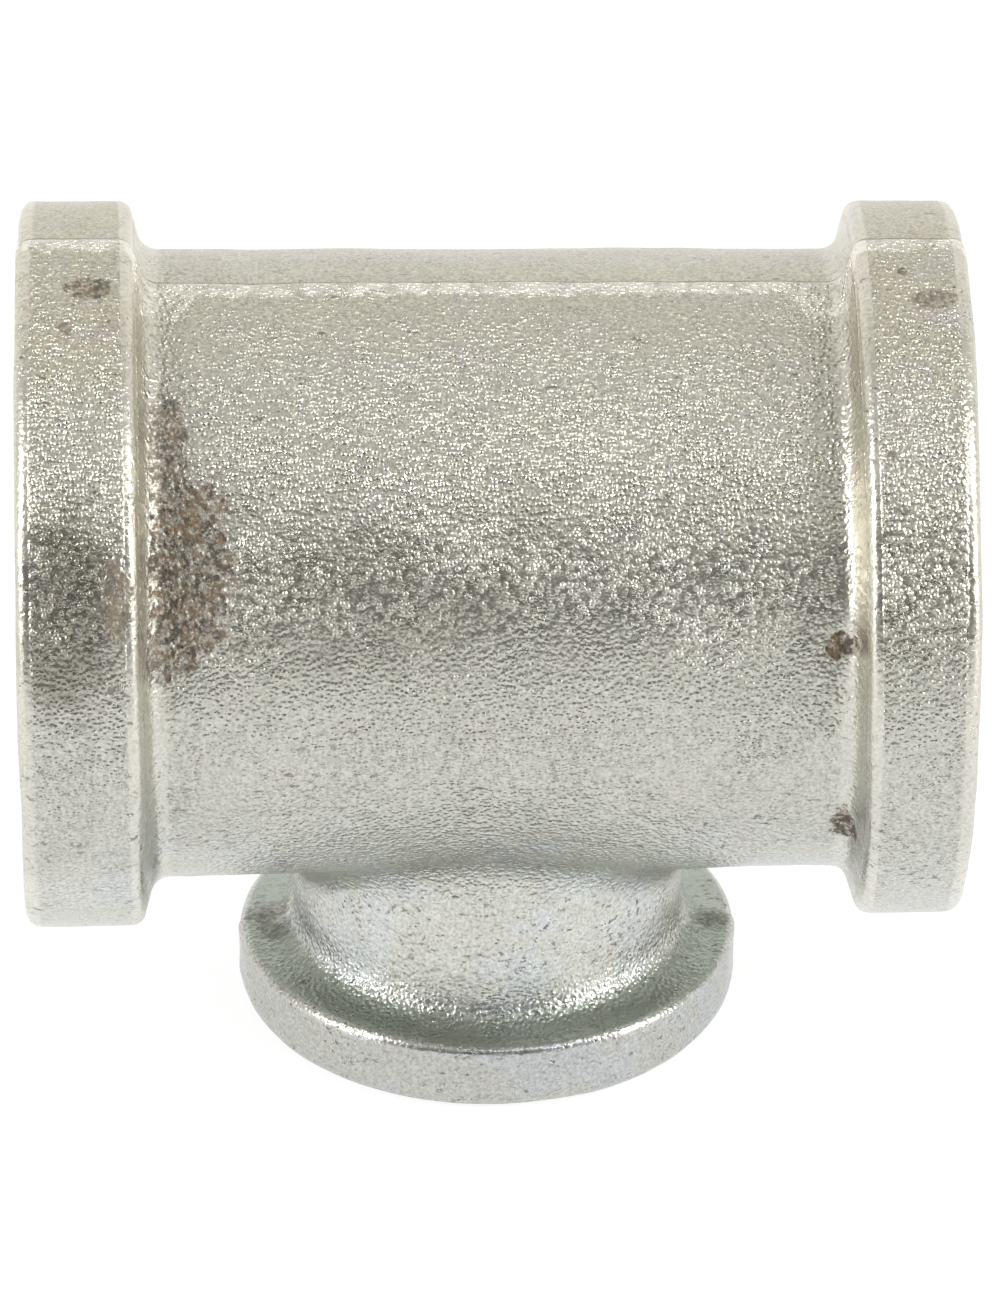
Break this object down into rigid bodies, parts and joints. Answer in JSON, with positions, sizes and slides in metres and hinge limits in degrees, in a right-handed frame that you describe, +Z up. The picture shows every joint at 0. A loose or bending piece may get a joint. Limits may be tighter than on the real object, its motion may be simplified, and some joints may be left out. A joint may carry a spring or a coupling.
{
  "type": "reducing tee pipe fitting",
  "caption": "Banded malleable-iron reducing tee with a straight threaded run and a smaller threaded branch, zinc coated.",
  "frame": {"origin": "centre of the branch outlet's end face, on which the tee stands", "axes": "+X along the run, +Z up the branch's axis from its outlet towards the run, +Y square to both, across the casting's parting plane"},
  "size_m": [0.0736, 0.057, 0.0679],
  "materials": {
    "zinc_coated_iron": "zinc coated, sand-cast grain, dull metallic"
  },
  "bodies": {
    "root": {"tee_casting": "zinc_coated_iron"}
  },
  "joints": []
}
